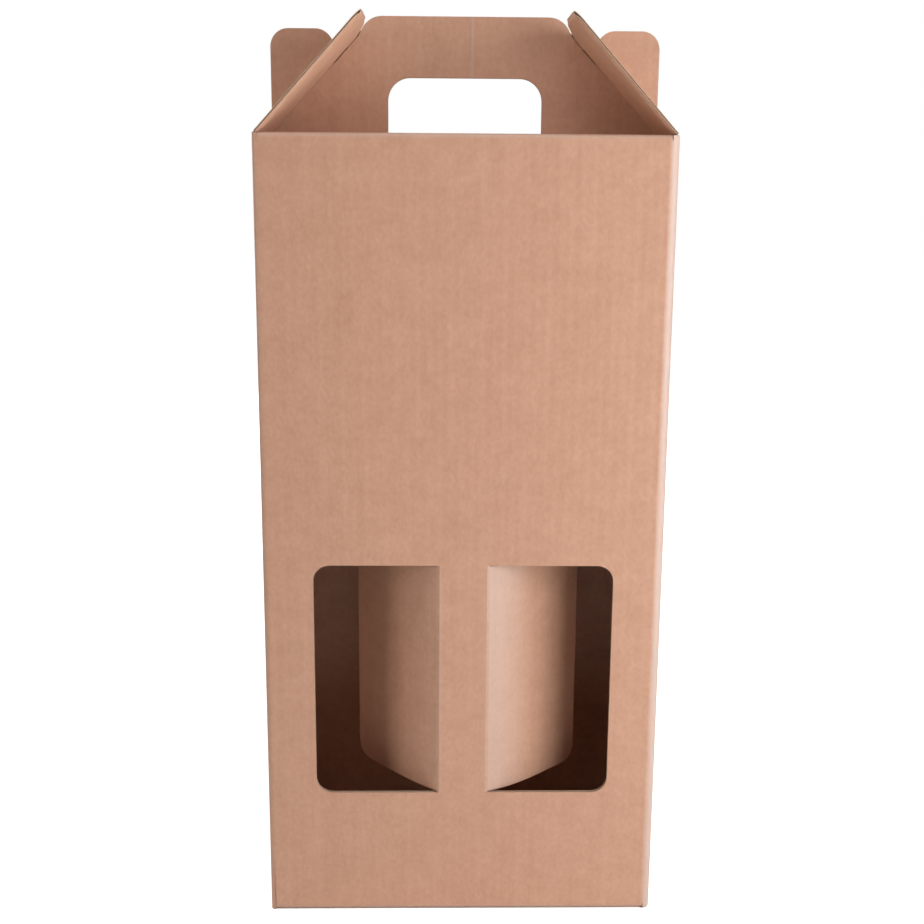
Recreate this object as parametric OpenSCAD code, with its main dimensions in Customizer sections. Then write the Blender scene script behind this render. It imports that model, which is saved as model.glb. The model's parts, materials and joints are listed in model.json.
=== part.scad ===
// Two-bottle wine carrier folded from one die-cut sheet of corrugated board.
// Millimetres, +Z up, front face towards -Y, origin at the middle of the base.

/* [Carton] */
// Outside width across the front
box_w = 180; // [150:1:240]
// Outside depth from front to back
box_d = 90; // [76:1:130]
// Height from the base to the top of the lid
box_h = 358; // [260:1:430]
// Thickness of the corrugated board
board_t = 1.8; // [1.2:0.1:3]
// Inside radius of the upright folds between the walls
wall_fold_r = 1.2; // [0.6:0.1:4]
// Inside radius of the folds into the lid and the base
lid_fold_r = 0.8; // [0.4:0.1:3]
// Width of the glue tab behind the left wall
glue_tab_w = 32; // [15:1:40]

/* [Windows] */
// Width of each window, from the mullion crease to the outer edge
window_w = 57; // [30:0.5:64]
// Height of each window
window_h = 110; // [60:1:180]
// Height of the window sill above the base
window_sill = 60; // [30:1:90]
// Radius of the outer window corners
window_r = 7.5; // [2:0.5:15]
// Width of the mullion between the two window creases
mullion_w = 21; // [12:0.5:40]
// Angle by which the left window flap is folded in
left_fold = 47; // [5:1:80]
// Angle by which the right window flap is folded in
right_fold = 39; // [5:1:80]

/* [Handle] */
// Rise of the handle above the lid
handle_rise = 51.5; // [44:0.5:60]
// Radius of the handle shoulders
shoulder_r = 10; // [4:0.5:16]
// Angle above level of the shoulders' edge, between the prongs of the side flaps
shoulder_lean = 62; // [54:1:75]
// Width of the hand hole
hand_hole_w = 69; // [50:1:76]
// Rise of the top of the hand hole above the lid
hand_hole_rise = 25.5; // [20:0.5:34]
// Radius of the upper corners of the hand hole
hand_hole_r = 10; // [3:0.5:18]
// Inside radius of the crease between lid and handle
crease_r = 0.6; // [0.3:0.1:2]
// Gap between the front and the back handle panel
panel_gap = 0.4; // [0.2:0.1:1.5]
// Width of each locking ear
ear_w = 28; // [18:0.5:34]
// Rise of the locking ears above the lid
ear_rise = 46; // [38:0.5:52]
// Radius of the ear corners
ear_r = 8; // [3:0.5:9]

/* [Side flaps] */
// Angle of a locked side flap above level
flap_lean = 47.6; // [44:0.1:54]
// Width of the bridge that drops between ear and handle
bridge_w = 6; // [3:0.5:10]
// Length of the prongs beyond the bridge
prong_len = 8; // [4:0.5:20]
// Width between the prongs at their tips
prong_mouth = 30; // [12:0.5:50]
// Radius of the outer prong corners
prong_r = 6; // [1:0.5:9]
// Distance of the side flaps inside the front and back faces
flap_inset = 0.8; // [0.3:0.1:3]

/* [Base] */
// Level run of a base flap beside its fold, before it rises
fold_run = 1.5; // [0.5:0.5:4]
// Run over which a base flap rises by one layer
layer_run = 7; // [5:0.5:9]
// Width of the closing tongue
tongue_w = 70; // [40:1:90]
// Length of the tongue that lies on the back flap
tongue_grip = 18; // [8:0.5:22]
// Distance between the tongue's end and the back wall
tongue_end_gap = 8; // [4:0.5:16]
// Distance by which the back flap's arms pass over the front flap
base_overlap = 10; // [4:0.5:14]
// Slant of the base flaps' cut sides, from fold to free end
base_slant = 8; // [2:0.5:12]

/* [Clearances] */
// Gap between a flap's rounded crease edge and the wall that it folds on
hinge_gap = 0.3; // [0.2:0.05:0.6]
// Cut between a window flap and the window's edges
window_kerf = 0.6; // [0.3:0.1:1.5]
// Gap between a locked side flap and the handle's slanting edge
lock_gap = 0.6; // [0.3:0.1:1.5]
// Gap between the side flap's slot and the ear that stands in it
slot_gap = 0.6; // [0.3:0.1:1.2]
// Gap between the lid's ends and the inside of the side walls
lid_side_gap = 1.8; // [1.6:0.1:3]
// Cut between the ends of a lid or base fold and the walls' corner
corner_slit = 0.6; // [0.3:0.1:1.2]
// Gap between the layers of the base
layer_gap = 0.3; // [0.2:0.05:1]
// Gap between base flaps that lie beside each other
base_gap = 1.5; // [1:0.1:4]

/* [Hidden] */
$fn = 48;
kraft = [0.78, 0.60, 0.48];
kraft_inside = [0.72, 0.54, 0.42];
// Overrun of a cutting body past the faces that it cuts
over = 1;

// Outside radii of the folds
wall_bend = wall_fold_r + board_t;
lid_bend = lid_fold_r + board_t;

// Crease axis of a side flap, on the right
hinge_x = box_w / 2 - board_t / 2;
hinge_z = box_h - board_t / 2;
wall_top = box_h - board_t - hinge_gap;

// Lid and handle
lid_half = box_w / 2 - board_t - lid_side_gap;
panel_face = panel_gap / 2 + board_t;
ear_inner_x = lid_half - ear_w;
// Unit normal of the locked right flap, pointing up and out
lean_nx = sin(flap_lean);
lean_nz = cos(flap_lean);
// Distance along that normal from the crease axis to the handle's slanting edge
edge_offset = -(board_t / 2 + lock_gap);
// The slanting edge's distance from the middle of the lid's top face, along the same normal
edge_reach = edge_offset + lean_nx * hinge_x + lean_nz * (hinge_z - box_h);
slant_foot_x = edge_reach / lean_nx;

// Side flap, measured along its slope from the crease axis
ear_reach = ear_r + norm([hinge_x - ear_inner_x - ear_r, hinge_z - box_h - (ear_rise - ear_r)]);
slot_start = (hinge_x - lid_half - lean_nx * board_t / 2) / lean_nz - slot_gap;
slot_end = ear_reach + slot_gap;
slot_half = panel_face + slot_gap;
notch_start = slot_end + bridge_w;
flap_len = notch_start + prong_len;
flap_half = box_d / 2 - flap_inset;

// Turn of the handle's slanting edge, just past the bridge, and the shoulder that follows it
turn_slope = notch_start + lock_gap;
turn_x = hinge_x - lean_nz * turn_slope + lean_nx * edge_offset;
turn_z = hinge_z - box_h + lean_nx * turn_slope + lean_nz * edge_offset;
shoulder_nx = sin(shoulder_lean);
shoulder_nz = cos(shoulder_lean);
shoulder_z = handle_rise - shoulder_r;
shoulder_x = turn_x + (shoulder_nz * (turn_z - shoulder_z) - shoulder_r) / shoulder_nx;

// Windows
crease_x = mullion_w / 2;
crease_y = -box_d / 2 + board_t / 2;
mullion_edge_x = crease_x - board_t / 2 - hinge_gap;
window_out_x = crease_x + window_w;

// Base layers, from the outermost flap up
layer = board_t + layer_gap;
base_half = lid_half;
tongue_end = box_d / 2 - board_t - tongue_end_gap;
tongue_top_start = tongue_end - tongue_grip;
front_flap_end = tongue_top_start - 3 * layer_run;
back_arm_end = front_flap_end - base_overlap;
side_flap_front = -box_d / 2 + lid_bend + 2 * layer_run;
side_ramp_start = box_w / 2 - lid_bend - fold_run;
back_ramp_start = box_d / 2 - lid_bend - fold_run;
side_flap_back = back_ramp_start - 2 * layer_run - base_gap;
side_flap_inner = tongue_w / 2 + base_gap + base_slant;
front_flap_half = side_ramp_start - layer_run - base_gap;

module along_x(length) rotate([90, 0, 90]) linear_extrude(length, center = true) children();

module along_y(length) rotate([90, 0, 0]) linear_extrude(length, center = true) children();

module both_sides(axis) {
    children();
    mirror(axis) children();
}

// Rectangle about the origin with round corners
module rounded_plate(width, depth, radius) {
    square([width - 2 * radius, depth], center = true);
    square([width, depth - 2 * radius], center = true);
    for (sx = [-1, 1], sy = [-1, 1])
        translate([sx * (width / 2 - radius), sy * (depth / 2 - radius)]) circle(radius);
}

// Quarter bend of the board about the origin, in the first quadrant, with a straight run at each end
module bend(outer_r) {
    intersection() {
        difference() {
            circle(outer_r);
            circle(outer_r - board_t);
        }
        square(outer_r);
    }
    translate([outer_r - board_t, -fold_run]) square([board_t, fold_run]);
    translate([-fold_run, outer_r - board_t]) square([fold_run, board_t]);
}

// Board from one height to another, for a section drawn with height upwards
module ramp(from_pos, to_pos, from_z, to_z)
    polygon([[from_pos, from_z], [to_pos, to_z], [to_pos, to_z + board_t], [from_pos, from_z + board_t]]);

// Plan of the four walls, with the glued seam at the left rear corner
module wall_plan() {
    difference() {
        rounded_plate(box_w, box_d, wall_bend);
        rounded_plate(box_w - 2 * board_t, box_d - 2 * board_t, wall_fold_r);
        translate([-box_w / 2 - over, box_d / 2 - wall_bend])
            square([over + board_t + wall_bend, wall_bend + over]);
    }
    translate([-box_w / 2 + board_t, box_d / 2 - wall_bend - glue_tab_w]) square([board_t, glue_tab_w]);
    translate([-box_w / 2 + board_t + wall_bend, box_d / 2 - wall_bend]) rotate(90) bend(wall_bend);
}

// One window seen from the front, on the right, with its crease side left square
module window_opening() {
    translate([mullion_edge_x, window_sill])
        square([window_out_x - window_r - mullion_edge_x, window_h]);
    translate([window_out_x - window_r - over, window_sill + window_r])
        square([window_r + over, window_h - 2 * window_r]);
    for (z = [window_sill + window_r, window_sill + window_h - window_r])
        translate([window_out_x - window_r, z]) circle(window_r);
}

// Four walls with the windows, cut back where the board folds into the lid and the base
module walls() {
    difference() {
        linear_extrude(wall_top) wall_plan();
        translate([0, -box_d / 2, 0]) along_y(2 * lid_bend) both_sides([1, 0, 0]) window_opening();
        both_sides([0, 1, 0]) {
            translate([-lid_half - corner_slit, -box_d / 2 - over, box_h - lid_bend])
                cube([2 * (lid_half + corner_slit), over + lid_bend, lid_bend]);
            translate([-base_half - corner_slit, -box_d / 2 - over, -over])
                cube([2 * (base_half + corner_slit), over + lid_bend, over + lid_bend]);
        }
        both_sides([1, 0, 0])
            translate([box_w / 2 - board_t - lid_side_gap, side_flap_front - corner_slit, -over])
                cube([
                    over + board_t + lid_side_gap,
                    side_flap_back - side_flap_front + 2 * corner_slit,
                    over + lid_bend
                ]);
    }
}

// Half of the locking ear and the handle beside it, seen from the front, above the lid
module ear_outline() {
    translate([ear_inner_x, 0]) square([ear_w, ear_rise - ear_r]);
    translate([ear_inner_x + ear_r, 0]) square([ear_w - 2 * ear_r, ear_rise]);
    for (x = [ear_inner_x + ear_r, lid_half - ear_r])
        translate([x, ear_rise - ear_r]) circle(ear_r);
}

module hand_hole() {
    hole_half = hand_hole_w / 2;
    translate([-hole_half, 0]) square([hand_hole_w, hand_hole_rise - hand_hole_r]);
    translate([hand_hole_r - hole_half, 0]) square([hand_hole_w - 2 * hand_hole_r, hand_hole_rise]);
    both_sides([1, 0])
        translate([hole_half - hand_hole_r, hand_hole_rise - hand_hole_r]) circle(hand_hole_r);
}

// Handle panel: grip with sloping shoulders, hand hole and an ear at each end
module handle_outline() {
    difference() {
        union() {
            both_sides([1, 0]) {
                polygon([
                    [0, 0],
                    [slant_foot_x, 0],
                    [turn_x, turn_z],
                    [shoulder_x + shoulder_r * shoulder_nx, shoulder_z + shoulder_r * shoulder_nz],
                    [shoulder_x, handle_rise],
                    [0, handle_rise]
                ]);
                translate([shoulder_x, shoulder_z]) circle(shoulder_r);
                ear_outline();
            }
        }
        hand_hole();
    }
}

// Section of the front lid half: wall fold, lid, crease and upright handle panel
module lid_section() {
    translate([-box_d / 2 + lid_bend, box_h - lid_bend]) rotate(90) bend(lid_bend);
    translate([-box_d / 2 + lid_bend, box_h - board_t])
        square([box_d / 2 - lid_bend - panel_face - crease_r, board_t]);
    translate([-panel_face - crease_r, box_h + crease_r]) rotate(-90) bend(crease_r + board_t);
    translate([-panel_face, box_h + crease_r]) square([board_t, handle_rise - crease_r]);
}

module lid_and_handle() {
    intersection() {
        along_x(2 * lid_half) lid_section();
        along_y(box_d + 2 * over) {
            translate([0, box_h]) handle_outline();
            translate([-lid_half, box_h - lid_bend - fold_run]) square([2 * lid_half, lid_bend + fold_run]);
        }
    }
}

// Closing flap from the front wall, the outermost layer, with the tongue that tucks in at the back
module front_base_flap() {
    intersection() {
        along_x(2 * base_half) {
            translate([-box_d / 2 + lid_bend, lid_bend]) rotate(180) bend(lid_bend);
            translate([-box_d / 2 + lid_bend, 0])
                square([front_flap_end + box_d / 2 - lid_bend, board_t]);
        }
        translate([0, 0, -over]) linear_extrude(2 * over + lid_bend + fold_run) both_sides([1, 0])
            polygon([
                [0, -box_d / 2 - over],
                [base_half, -box_d / 2 - over],
                [base_half, -box_d / 2 + lid_bend],
                [front_flap_half, side_flap_front - base_gap],
                [front_flap_half - base_slant, front_flap_end],
                [0, front_flap_end]
            ]);
    }
    along_x(tongue_w) {
        translate([front_flap_end - fold_run, 0]) square([fold_run, board_t]);
        ramp(front_flap_end, tongue_top_start, 0, 3 * layer);
        translate([tongue_top_start, 3 * layer]) square([tongue_grip, board_t]);
    }
}

// Flap from the right wall, the second layer
module side_base_flap() {
    intersection() {
        along_y(box_d) {
            translate([box_w / 2 - lid_bend, lid_bend]) rotate(-90) bend(lid_bend);
            ramp(side_ramp_start - layer_run, side_ramp_start, layer, 0);
            translate([side_flap_inner, layer])
                square([side_ramp_start - layer_run - side_flap_inner, board_t]);
        }
        translate([0, 0, -over]) linear_extrude(2 * over + lid_bend + fold_run + layer) polygon([
            [box_w / 2 + over, side_flap_front],
            [box_w / 2 + over, side_flap_back],
            [side_ramp_start - layer_run, side_flap_back],
            [side_flap_inner, side_flap_back - base_slant],
            [side_flap_inner, side_flap_front + base_slant],
            [side_ramp_start - layer_run, side_flap_front]
        ]);
    }
}

// Flap from the back wall, the third layer, cut out in the middle for the tongue
module back_base_flap() {
    notch_half = tongue_w / 2 + base_gap;
    notch_y = tongue_top_start + base_gap;
    intersection() {
        along_x(2 * base_half) {
            translate([box_d / 2 - lid_bend, lid_bend]) rotate(-90) bend(lid_bend);
            ramp(back_ramp_start - 2 * layer_run, back_ramp_start, 2 * layer, 0);
            translate([back_arm_end, 2 * layer])
                square([back_ramp_start - 2 * layer_run - back_arm_end, board_t]);
        }
        translate([0, 0, -over]) linear_extrude(2 * over + lid_bend + fold_run + 2 * layer) both_sides([1, 0])
            polygon([
                [0, box_d / 2 + over],
                [base_half, box_d / 2 + over],
                [base_half, box_d / 2 - lid_bend],
                [base_half - base_slant, back_arm_end],
                [notch_half + base_slant, back_arm_end],
                [notch_half, notch_y],
                [0, notch_y]
            ]);
    }
}

// The whole carton apart from the flaps that swing
module carton_body() color(kraft) {
    walls();
    both_sides([0, 1, 0]) lid_and_handle();
    front_base_flap();
    both_sides([1, 0, 0]) side_base_flap();
    back_base_flap();
}

// Outline of a side flap, with its length along X and its crease along Y
module side_flap_outline() {
    difference() {
        union() {
            translate([0, -flap_half]) square([flap_len - prong_r, 2 * flap_half]);
            translate([0, prong_r - flap_half]) square([flap_len, 2 * (flap_half - prong_r)]);
            both_sides([0, 1]) translate([flap_len - prong_r, flap_half - prong_r]) circle(prong_r);
        }
        translate([slot_start, -slot_half]) square([slot_end - slot_start, 2 * slot_half]);
        polygon([
            [notch_start, -slot_half],
            [flap_len + over, -prong_mouth / 2],
            [flap_len + over, prong_mouth / 2],
            [notch_start, slot_half]
        ]);
    }
}

// Side flap on the right, leaning in over the lid with the ear standing through its slot
module right_side_flap_body() {
    translate([hinge_x, 0, hinge_z]) rotate([0, flap_lean - 180, 0]) {
        linear_extrude(board_t, center = true) side_flap_outline();
        rotate([90, 0, 0]) cylinder(h = 2 * flap_half, d = board_t, center = true);
    }
}

module right_side_flap() color(kraft_inside) right_side_flap_body();

module left_side_flap() color(kraft_inside) mirror([1, 0, 0]) right_side_flap_body();

// Outline of a window flap, with its crease along Y and its free edge round at both corners
module window_flap_outline() {
    width = window_w - window_kerf;
    height = window_h - 2 * window_kerf;
    translate([0, -height / 2]) square([width - window_r, height]);
    translate([0, window_r - height / 2]) square([width, height - 2 * window_r]);
    both_sides([0, 1]) translate([width - window_r, height / 2 - window_r]) circle(window_r);
}

// Window flap on the right, folded in about its crease by the given angle
module right_window_flap_body(fold) {
    translate([crease_x, crease_y, window_sill + window_h / 2]) rotate([0, 0, fold]) {
        rotate([90, 0, 0]) linear_extrude(board_t, center = true) window_flap_outline();
        cylinder(h = window_h - 2 * window_kerf, d = board_t, center = true);
    }
}

module right_window_flap() color(kraft) right_window_flap_body(right_fold);

module left_window_flap() color(kraft) mirror([1, 0, 0]) right_window_flap_body(left_fold);

carton_body();
left_side_flap();
right_side_flap();
left_window_flap();
right_window_flap();
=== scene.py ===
"""Looks of a two-bottle wine carrier: corrugated board that is die-cut flat, creased and folded up.

Every board is made as the real one is. Two liners and a fluted medium form a flat stock, a die cuts it to
its outline, crease lines are set in it, and it is folded about them. Flat sizes are in millimetres, with u
across the flutes, v along them and the outer liner upwards. Folded meshes are in metres, in the frame of the
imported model.
"""
import json
import logging
import math
from collections.abc import Callable, Sequence
from dataclasses import dataclass, field
from enum import Enum, IntEnum
from typing import Any, NamedTuple

import bpy
import numpy as np
from mathutils import Matrix, Vector


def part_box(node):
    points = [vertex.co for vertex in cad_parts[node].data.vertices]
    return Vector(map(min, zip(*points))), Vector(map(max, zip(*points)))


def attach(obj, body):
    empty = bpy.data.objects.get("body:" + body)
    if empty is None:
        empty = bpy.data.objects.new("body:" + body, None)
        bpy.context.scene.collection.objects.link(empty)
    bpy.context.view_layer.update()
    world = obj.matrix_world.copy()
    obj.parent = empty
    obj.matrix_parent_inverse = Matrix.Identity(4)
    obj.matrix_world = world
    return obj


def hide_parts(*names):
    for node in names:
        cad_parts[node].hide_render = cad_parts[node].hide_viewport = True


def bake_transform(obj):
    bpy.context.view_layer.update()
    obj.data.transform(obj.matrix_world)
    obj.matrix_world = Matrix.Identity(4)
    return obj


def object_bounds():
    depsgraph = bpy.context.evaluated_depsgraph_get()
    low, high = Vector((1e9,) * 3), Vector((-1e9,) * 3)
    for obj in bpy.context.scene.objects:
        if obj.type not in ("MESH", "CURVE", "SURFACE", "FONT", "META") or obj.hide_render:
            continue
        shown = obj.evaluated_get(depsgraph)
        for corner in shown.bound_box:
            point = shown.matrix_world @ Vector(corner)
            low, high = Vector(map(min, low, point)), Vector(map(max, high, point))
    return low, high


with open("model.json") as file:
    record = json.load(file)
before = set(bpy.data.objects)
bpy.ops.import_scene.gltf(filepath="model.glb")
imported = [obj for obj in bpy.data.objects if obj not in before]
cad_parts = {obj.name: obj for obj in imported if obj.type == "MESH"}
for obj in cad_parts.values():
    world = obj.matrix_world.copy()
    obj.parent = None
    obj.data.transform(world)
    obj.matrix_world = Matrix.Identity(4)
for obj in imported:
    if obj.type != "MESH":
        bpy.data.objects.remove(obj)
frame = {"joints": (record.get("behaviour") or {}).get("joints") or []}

LOG = logging.getLogger("wine_carrier")
CAD_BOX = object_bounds()
MM = 0.001
FLAT_ATTRIBUTE = "flat"
# How pale the paper is painted: wear at folds, plus painted highlight at the right corner and right window
# flap.
WEAR_AND_HIGHLIGHT_ATTRIBUTE = "crease"
WHITE = "FFFFFF"
# How near points count as touching, in millimetres, and how squarely a face has to point a way.
TOUCH = 1e-3
FACING = 0.9
# Size in millimetres of a pattern that stays the same through the board.
EVEN_THROUGH = 1000.0


class Face(IntEnum):
    """Material slots of every board."""

    OUTER = 0
    INNER = 1
    CUT = 2


class Hand(Enum):
    """Side of the carton, as seen from the front. The value is the sign of X there."""

    LEFT = -1.0
    RIGHT = 1.0


class Leg(IntEnum):
    """Runs of the walls' plan, from the left wall's free edge round to the glue tab."""

    LEFT = 0
    FRONT = 1
    RIGHT = 2
    BACK = 3
    GLUE_TAB = 4


class Run(IntEnum):
    """Runs of a wall's profile, from the inner end of its base flap up to the handle."""

    BASE_END = 0
    BASE_RAMP = 1
    BASE_FLAP = 2
    WALL = 3
    LID = 4
    HANDLE = 5


class Corner(NamedTuple):
    """Corner of an outline or a folded path, in millimetres, with the radius that rounds it."""

    x: float
    y: float
    radius: float = 0.0


class Wear(NamedTuple):
    """How pale a bend is painted, from 0 to 1, and at which share of the bend: wear, and on the right corner
    also a painted highlight.
    """

    most: float
    place: float = 0.5


class Stretch(NamedTuple):
    """One straight or bent stretch of a folded path."""

    start: float
    length: float
    origin: np.ndarray
    heading: np.ndarray
    inward: np.ndarray
    turn: float
    pivot: np.ndarray


def srgb(code: str) -> tuple[float, float, float, float]:
    """Turn a colour as it looks on screen into the linear values that shaders take.

    Args:
        code: Six hexadecimal digits, such as "C89B82".

    Returns:
        Linear red, green and blue with an alpha of 1.
    """
    channels = [int(code[i:i + 2], 16) / 255 for i in (0, 2, 4)]
    linear = [c / 12.92 if c <= 0.04045 else ((c + 0.055) / 1.055) ** 2.4 for c in channels]
    return (*linear, 1.0)


def add_node(tree: bpy.types.NodeTree, kind: str, settings: dict[str, Any],
             inputs: dict[str | int, Any]) -> bpy.types.Node:
    """Add a shader node with its settings, constants and links.

    Args:
        tree: Node tree that gets the node.
        kind: Node type name.
        settings: Properties of the node itself.
        inputs: Constant or output socket for each input, by name or place.

    Returns:
        The new node.
    """
    node = tree.nodes.new(kind)
    for key, value in settings.items():
        setattr(node, key, value)
    for key, value in inputs.items():
        if isinstance(value, bpy.types.NodeSocket):
            tree.links.new(value, node.inputs[key])
        else:
            node.inputs[key].default_value = value
    return node


def new_material(name: str) -> tuple[bpy.types.Material, bpy.types.NodeTree, bpy.types.Node]:
    """Start a material.

    Args:
        name: Common name of the real material.

    Returns:
        The material, its node tree and its shader.
    """
    material = bpy.data.materials.new(name)
    material.use_nodes = True
    return material, material.node_tree, material.node_tree.nodes["Principled BSDF"]


def joint_named(name: str) -> dict[str, Any]:
    """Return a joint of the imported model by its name."""
    return next(joint for joint in frame["joints"] if joint["name"] == name)


def deselect_all() -> None:
    """Leave edit mode and deselect every object."""
    if bpy.context.mode != "OBJECT":
        bpy.ops.object.mode_set(mode="OBJECT")
    bpy.ops.object.select_all(action="DESELECT")


def make_active(piece: bpy.types.Object) -> None:
    """Select one object alone and make it the active one.

    Args:
        piece: The object.
    """
    deselect_all()
    piece.select_set(True)
    bpy.context.view_layer.objects.active = piece


def face_outwards(piece: bpy.types.Object) -> None:
    """Turn the faces of a closed mesh outwards.

    Args:
        piece: Object with the mesh.
    """
    make_active(piece)
    bpy.ops.object.mode_set(mode="EDIT")
    bpy.ops.mesh.select_all(action="SELECT")
    bpy.ops.mesh.normals_make_consistent(inside=False)
    bpy.ops.object.mode_set(mode="OBJECT")


def rounded_outline(corners: Sequence[Corner], step_deg: float = 9.0) -> list[tuple[float, float]]:
    """Round the corners of a closed outline.

    Args:
        corners: Corners in order, each with its radius.
        step_deg: Angle that one chord of a round corner spans at most.

    Returns:
        Points of the rounded outline.
    """
    points: list[tuple[float, float]] = []
    for before, corner, after in zip([corners[-1], *corners[:-1]], corners, [*corners[1:], corners[0]]):
        spot = Vector(corner[:2])
        back, ahead = (Vector(before[:2]) - spot).normalized(), (Vector(after[:2]) - spot).normalized()
        if corner.radius == 0:
            points.append(tuple(spot))
            continue
        half = back.angle(ahead) / 2
        middle = spot + (back + ahead).normalized() * corner.radius / math.sin(half)
        first = spot + back * corner.radius / math.tan(half) - middle
        sweep = first.angle_signed(spot + ahead * corner.radius / math.tan(half) - middle)
        chords = max(2, math.ceil(abs(math.degrees(sweep)) / step_deg))
        for i in range(chords + 1):
            points.append(tuple(middle + Matrix.Rotation(-sweep * i / chords, 2) @ first))
    return points


def prism(name: str, points: Sequence[tuple[float, float]], low: float, high: float) -> bpy.types.Object:
    """Raise a flat outline to a solid.

    Args:
        name: Name of the new object.
        points: Outline in the XY plane.
        low: Height of the lower face.
        high: Height of the upper face.

    Returns:
        The solid, with its place in its mesh.
    """
    deselect_all()
    bpy.ops.mesh.primitive_circle_add(vertices=len(points), fill_type="NGON")
    solid = bpy.context.object
    solid.name = solid.data.name = name
    for vertex, point in zip(solid.data.vertices, points):
        vertex.co = (*point, low)
    bpy.ops.object.mode_set(mode="EDIT")
    bpy.ops.mesh.select_all(action="SELECT")
    bpy.ops.mesh.extrude_region_move(TRANSFORM_OT_translate={"value": (0, 0, high - low)})
    face_outwards(solid)
    return solid


class FoldPath:
    """Section through folded board: straight runs of its outer face, joined by bends."""

    def __init__(self, corners: Sequence[Corner], thickness: float, inward_side: float) -> None:
        """Lay the path out flat.

        Args:
            corners: Corners of the outer face; each radius is the one inside the bend.
            thickness: Thickness of the board.
            inward_side: 1 where the inner face lies to the left of the path, -1 where it lies to the right.
        """
        points = [np.array(corner[:2], float) for corner in corners]
        self.stretches: list[Stretch] = []
        self.runs: list[Stretch] = []
        self.bends: list[Stretch] = []
        self.corner_flats: list[float] = []
        flat = trim = 0.0
        for k, (start, end) in enumerate(zip(points, points[1:])):
            length = float(np.linalg.norm(end - start))
            heading = (end - start) / length
            inward = inward_side * np.array([-heading[1], heading[0]])
            self.corner_flats.append(flat - trim)
            cut, bend = 0.0, None
            if k + 2 < len(points):
                onward = points[k + 2] - end
                turn = math.atan2(heading[0] * onward[1] - heading[1] * onward[0], float(heading @ onward))
                outside = turn * inward_side > 0
                radius = corners[k + 1].radius + (thickness if outside else 0.0)
                cut = radius * math.tan(abs(turn) / 2)
                tangent = end - heading * cut
                pivot = tangent + inward * radius * (1.0 if outside else -1.0)
                bent = abs(turn) * (corners[k + 1].radius + thickness / 2)
                bend = Stretch(flat + length - trim - cut, bent, tangent, heading, inward, turn, pivot)
            run = Stretch(flat, length - trim - cut, start + heading * trim, heading, inward, 0.0, start)
            self.runs.append(run)
            self.stretches.append(run)
            flat += run.length
            if bend:
                self.bends.append(bend)
                self.stretches.append(bend)
                flat += bend.length
            trim = cut

    def flat(self, run: int, along: float) -> float:
        """Return the flat place of a point on a run, given by its distance from that run's first corner."""
        return self.corner_flats[run] + along

    def span(self, run: int) -> tuple[float, float]:
        """Return where a straight run starts and ends on the flat board."""
        return self.runs[run].start, self.runs[run].start + self.runs[run].length

    def locate(self, flat: np.ndarray, inset: np.ndarray) -> np.ndarray:
        """Fold points of the flat board.

        Args:
            flat: Place of each point along the flat board.
            inset: Distance of each point from the outer face.

        Returns:
            Folded points, one row each.
        """
        folded = np.zeros((len(flat), 2))
        last = len(self.stretches) - 1
        for k, piece in enumerate(self.stretches):
            here = np.ones(len(flat), bool)
            if k > 0:
                here &= flat >= piece.start
            if k < last:
                here &= flat < piece.start + piece.length
            along = flat[here] - piece.start
            face = np.outer(inset[here], piece.inward) + piece.origin
            if piece.turn == 0.0:
                folded[here] = face + np.outer(along, piece.heading)
                continue
            angle = piece.turn * along / piece.length
            arm = face - piece.pivot
            cos, sin = np.cos(angle), np.sin(angle)
            folded[here, 0] = piece.pivot[0] + arm[:, 0] * cos - arm[:, 1] * sin
            folded[here, 1] = piece.pivot[1] + arm[:, 0] * sin + arm[:, 1] * cos
        return folded

    def crease_lines(self, shift: float = 0.0, step_deg: float = 15.0, support: float = 0.4) -> list[float]:
        """List where the flat board is scored, so that it bends smoothly.

        Args:
            shift: Value added to each place.
            step_deg: Angle that each narrow strip of a bend turns by.
            support: Distance of the lines that stop the bend's shading on each side.

        Returns:
            Places along the flat board.
        """
        lines = []
        for bend in self.bends:
            strips = max(2, round(abs(math.degrees(bend.turn)) / step_deg))
            lines += [bend.start + bend.length * i / strips + shift for i in range(strips + 1)]
            lines += [bend.start - support + shift, bend.start + bend.length + support + shift]
        return sorted(lines)

    def bend_wear_and_highlight(self, flat: np.ndarray, wear: Sequence[Wear]) -> np.ndarray:
        """Return how pale the paper is painted at each place, for wear and painted highlight.

        Args:
            flat: Places along the flat board.
            wear: Paleness of each bend, for wear and, where a bend is set so, a painted highlight.

        Returns:
            Paleness from 0 on a straight run up to the most of the bend.
        """
        worn = np.zeros(len(flat))
        for bend, (most, place) in zip(self.bends, wear):
            share = np.clip((flat - bend.start) / bend.length, 0, 1)
            fall = np.sqrt((1 - share) / (1 - place))
            worn = np.maximum(worn, most * np.minimum(share / place, np.minimum(fall, 1)))
        return worn


@dataclass(frozen=True)
class Grain:
    """One pattern of the paper: its real size in millimetres and how much it shades the tone."""

    across: float
    along: float
    through: float
    share: float
    detail: float = 2.0
    roughness: float = 0.5


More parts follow.
